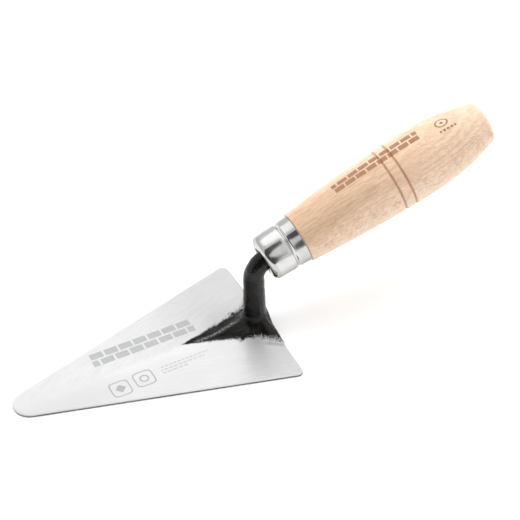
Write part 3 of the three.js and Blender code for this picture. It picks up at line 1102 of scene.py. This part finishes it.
def burned_marks(nodes, where):
    """A row of brickwork, and a ring with dashes nearer the butt."""
    x, y, z = nodes.split(where)
    around = nodes.times(nodes.math("ARCTAN2", y, z), BELLY_RADIUS)
    flat = nodes.add("ShaderNodeCombineXYZ")
    nodes.feed(flat, X=x, Y=around, Z=0)
    flat = flat.outputs[0]
    low = (BRAND_START, BRAND_AROUND - BRAND_HALF)
    high = (BRAND_END, BRAND_AROUND + BRAND_HALF)
    shifted = nodes.moved(flat, -BRAND_START, -BRAND_AROUND, 0)
    row = nodes.times(window(nodes, x, around, low, high), bricks(nodes, shifted, 6.4, BRAND_HALF, 0.9))
    across = away(nodes, x, BUTT_RING_AT)
    up = away(nodes, around, BRAND_AROUND - 1)
    marks = nodes.most(row, ring(nodes, nodes.times(across, 0.8), up, 2.6, 0.8))
    dot = nodes.math("LESS_THAN", nodes.plus(across, up), 1.2)
    low = (BUTT_DASHES[0], BRAND_AROUND - 7)
    high = (BUTT_DASHES[1], BRAND_AROUND - 5.5)
    dashes = nodes.times(window(nodes, x, around, low, high), bricks(nodes, flat, 2.2, NO_ROWS, 0.7))
    return nodes.most(nodes.most(marks, dot), dashes)


def ray_scales(nodes, where, from_heart):
    """Outlines of the small ray scales, where the surface runs along the rays."""
    cells = nodes.add("ShaderNodeTexVoronoi", feature="DISTANCE_TO_EDGE")
    nodes.feed(cells, Vector=nodes.stretched(where, 0.26, 0.55, 0.55), Scale=1, Randomness=0.9)
    outline = nodes.ramp(cells.outputs["Distance"], 0.03, 0.16, 0.55, 0)
    here = nodes.ramp(nodes.noise(where, 0.16, detail=2), 0.46, 0.58)
    place = nodes.times(edge_mask(nodes, from_heart, -12.5, -4.5, 2), here)
    return nodes.times(outline, place)


def growth_rings(nodes, where):
    """A wave across the growth rings, whose pith lies outside the handle."""
    _, y, z = nodes.split(where)
    warp = nodes.noise(nodes.stretched(where, 0.012, 0.05, 0.05), detail=2)
    beside = nodes.math("POWER", nodes.minus(y, PITH_Y), 2)
    above = nodes.math("POWER", nodes.minus(z, PITH_Z), 2)
    growth = nodes.plus(nodes.math("SQRT", nodes.plus(beside, above)), nodes.times(warp, 9))
    return nodes.math("SINE", nodes.times(growth, 2 * math.pi / RING_PITCH))


def heart_zone(nodes, where, drift):
    """The distance across the grip, and how much of the darker heart shows there."""
    x, y, z = nodes.split(where)
    from_heart = nodes.plus(nodes.times(y, 0.85), nodes.times(z, 0.53))
    from_heart = nodes.plus(from_heart, nodes.times(drift, 6))
    fade = nodes.ramp(x, 105, 42, 0.2, 0.85)
    return from_heart, nodes.times(edge_mask(nodes, from_heart, -4, 15, 4), fade)


def beech_ground(nodes, where, drift, from_heart, heart):
    """Rings, slow drifts, the heart, and painted light that makes the underside and the butt paler."""
    x = nodes.split(where)[0]
    rings = growth_rings(nodes, where)
    at_butt = nodes.times(nodes.ramp(rings, 0, 0.9), nodes.ramp(x, 98, 122, 0, 0.45))
    return nodes.layers(
        nodes.mix(nodes.ramp(rings, -0.6, 1), *BEECH_TONES),
        (at_butt, BEECH_RING_END),
        (nodes.ramp(drift, 0.42, 0.66, 0, 0.5), BEECH_DRIFT),
        (heart, BEECH_HEART),
        # Painted light makes the underside and the butt paler.
        (nodes.ramp(from_heart, -5, -14, 0, 0.45), BEECH_PAINTED_LIGHT),
        (nodes.ramp(x, 112, 130, 0, 0.35), BEECH_PAINTED_LIGHT),
    )


def beech_figure(nodes, where, tone, fibres, from_heart, heart):
    """Streaks in the heart, fibres, ray scales, pale patches and ray flecks."""
    streaks = nodes.noise(nodes.stretched(where, 0.09, 1.3, 1.3), detail=5, roughness=0.65)
    rays = nodes.noise(nodes.stretched(where, 0.33, 4.6, 0.6), roughness=0.6)
    patches = nodes.noise(nodes.stretched(where, 0.34, 1, 0.30), detail=2)
    streaky = nodes.times(nodes.ramp(streaks, 0.46, 0.60), nodes.math("MULTIPLY_ADD", heart, 0.75, 0.12))
    pale = nodes.times(nodes.ramp(patches, 0.52, 0.62, 0, 0.34), nodes.minus(1, heart))
    return nodes.layers(
        tone,
        (streaky, BEECH_STREAK),
        (nodes.ramp(fibres, 0.48, 0.68, 0, 0.45), BEECH_FIBRE),
        (ray_scales(nodes, where, from_heart), BEECH_SCALE),
        (pale, BEECH_PATCH),
        (nodes.ramp(rays, 0.56, 0.64, 0, 0.42), BEECH_RAY),
    )


def darkened_grooves(nodes, where, tone):
    """The two turned grooves, painted darker than the grip round them."""
    x = nodes.split(where)[0]
    for place in GROOVES_AT:
        turned_in = edge_mask(nodes, x, place - 0.55, place + 0.55, 0.25)
        tone = nodes.mix(nodes.times(turned_in, 0.72), tone, BEECH_GROOVE)
    return tone


def beech():
    """Sanded beech with a thin clear coat, from its ground to the burned marks on top."""
    nodes = new_material("beech")
    where = nodes.position(turn_back=True)
    drift = nodes.noise(nodes.stretched(where, 0.02, 0.12, 0.12), detail=4, distortion=0.5)
    fibres = nodes.noise(nodes.stretched(where, 0.25, 3, 3), detail=4, roughness=0.7)
    from_heart, heart = heart_zone(nodes, where, drift)
    tone = beech_ground(nodes, where, drift, from_heart, heart)
    tone = beech_figure(nodes, where, tone, fibres, from_heart, heart)
    tone = darkened_grooves(nodes, where, tone)
    marks = burned_marks(nodes, where)
    patchy = nodes.ramp(fibres, 0.35, 0.7, 1, 0.72)
    tone = nodes.mix(nodes.times(marks, patchy), tone, BEECH_BURNED)
    relief = nodes.minus(nodes.times(fibres, 0.03), nodes.times(marks, 0.10))
    nodes.shade(Base_Color=tone, Roughness=nodes.ramp(fibres, 0.4, 0.8, 0.45, 0.6))
    nodes.shade(Sheen_Weight=0.25, Sheen_Roughness=0.35)
    nodes.shade(Normal=nodes.bump(relief))
    return nodes.owner


# ---- The tool ----


def add_across_map(obj):
    """A flat map whose first direction runs across the blade, for the brushed reflections."""
    layer = obj.data.uv_layers.new(name="across")
    spread = []
    for polygon in obj.data.polygons:
        side = polygon.center.y / MM
        lean = -GRIND_LEAN * side / math.hypot(side, GRIND_TURN)
        for corner in polygon.vertices:
            spot = obj.data.vertices[corner].co
            spread.append(spot.y * math.cos(lean) + spot.x * math.sin(lean))
            spread.append(spot.x * math.cos(lean) - spot.y * math.sin(lean))
    layer.data.foreach_set("uv", spread)


def paint(obj, *materials):
    for material in materials:
        obj.data.materials.append(material)


def build_tool():
    blade, cut_faces = build_blade()
    paint(blade, coated_steel("ground_steel", True), edge_steel())
    for number in range(cut_faces):
        blade.data.polygons[number].material_index = 1
    neck = build_neck()
    paint(neck, coated_steel("black_lacquer", False))
    for piece in (blade, neck):
        add_across_map(piece)
    ferrule = build_ferrule()
    paint(ferrule, plated())
    handle = build_handle()
    paint(handle, beech())
    for piece, node, slot in (
        (blade, "blade_with_tang", "ground_steel"),
        (neck, "blade_with_tang", "black_lacquer"),
        (ferrule, "ferrule", "plated_ferrule"),
        (handle, "handle", "beech"),
    ):
        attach(piece, "root")
        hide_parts(node)


# ---- Stage ----

CAMERA_AIM = Vector((13.07, 19.19, 22.78))
CAMERA_AZIMUTH = math.radians(-25.64)
CAMERA_ELEVATION = math.radians(42.03)
CAMERA_ROLL = math.radians(-1.78)
CAMERA_DISTANCE = 1538.4
CAMERA_LENS = 207.7
CAMERA_SENSOR = 36
CAMERA_FAR = 20


def add_camera():
    right = Vector((math.cos(CAMERA_AZIMUTH), math.sin(CAMERA_AZIMUTH), 0))
    level = math.cos(CAMERA_ELEVATION)
    back = Vector((right.y * level, -right.x * level, math.sin(CAMERA_ELEVATION)))
    up = back.cross(right)
    turn = Matrix((right, up, back)).transposed() @ Matrix.Rotation(CAMERA_ROLL, 3, "Z")
    camera = bpy.data.objects.new("camera", bpy.data.cameras.new("camera"))
    camera.data.lens = CAMERA_LENS
    camera.data.sensor_width = CAMERA_SENSOR
    camera.data.clip_end = CAMERA_FAR
    place = Matrix.Translation((CAMERA_AIM + back * CAMERA_DISTANCE) * MM)
    camera.matrix_world = place @ turn.to_4x4()
    bpy.context.scene.collection.objects.link(camera)
    bpy.context.scene.camera = camera


FLOOR_DROP = 0.05
FLOOR_TONES = ((0.96, 0.96, 0.96), (0.975, 0.975, 0.975))
KEY_PLACE = (-0.2, 0.4, 2.2)
KEY_SIZE = 2.6
KEY_POWER = 33
WALL_LEVEL = 0.92
# Directions from the tool, each with the half angles in degrees where it is full and where it ends.
PANEL = ((0.28, 0.446, 0.85), 35, 39.5)
PANEL_EXTRA = 0.66
DARK_OPENINGS = (((-0.725, -0.217, 0.655), 32.3, 34.8), ((-0.684, -0.73, 0.022), 41, 43.5))
OPENING_DEPTH = -0.88


def add_floor():
    half = 4000
    corners = [(-half, -half, 0), (half, -half, 0), (half, half, 0), (-half, half, 0)]
    floor = add_mesh("floor", corners, [(0, 1, 2, 3)])
    floor.location.z = -FLOOR_DROP * MM
    nodes = new_material("floor_paper")
    tone = nodes.mix(nodes.noise(nodes.position(), 0.02), *FLOOR_TONES)
    nodes.shade(Base_Color=tone, Roughness=0.9)
    paint(floor, nodes.owner)


def add_lamp(name, place, size, power):
    """A soft lamp that lights surfaces but doesn't show in their reflections."""
    light = bpy.data.lights.new(name, "AREA")
    light.shape = "DISK"
    light.size = size
    light.energy = power
    lamp = bpy.data.objects.new(name, light)
    lamp.location = place
    lamp.visible_glossy = False
    lamp.rotation_euler = (-Vector(place)).to_track_quat("-Z", "Y").to_euler()
    bpy.context.scene.collection.objects.link(lamp)


def glow(nodes, where, direction, inner, outer):
    """1 within a cone round a direction, fading to 0."""
    facing = nodes.vector("DOT_PRODUCT", where, Vector(direction).normalized())["Value"]
    return nodes.ramp(facing, math.cos(math.radians(outer)), math.cos(math.radians(inner)))


def build_world():
    """A light tent: pale walls, a bright panel, and two dark openings at the front."""
    nodes = Nodes(bpy.data.worlds.new("studio"), "Background")
    nodes.shade(Color=(1, 1, 1, 1))
    where = nodes.add("ShaderNodeTexCoord").outputs["Generated"]
    level = nodes.math("MULTIPLY_ADD", glow(nodes, where, *PANEL), PANEL_EXTRA, WALL_LEVEL)
    dark = 0
    for opening in DARK_OPENINGS:
        dark = nodes.most(dark, glow(nodes, where, *opening))
    only_in_front = nodes.ramp(nodes.split(where)[1], -0.10, -0.05, 1, 0)
    dark = nodes.times(dark, only_in_front)
    level = nodes.times(level, nodes.math("MULTIPLY_ADD", dark, OPENING_DEPTH, 1))
    nodes.shade(Strength=level)
    bpy.context.scene.world = nodes.owner


def light_stage():
    build_world()
    add_lamp("key", KEY_PLACE, KEY_SIZE, KEY_POWER)
    bpy.context.scene.view_settings.view_transform = "Standard"


build_tool()
add_floor()
add_camera()
light_stage()
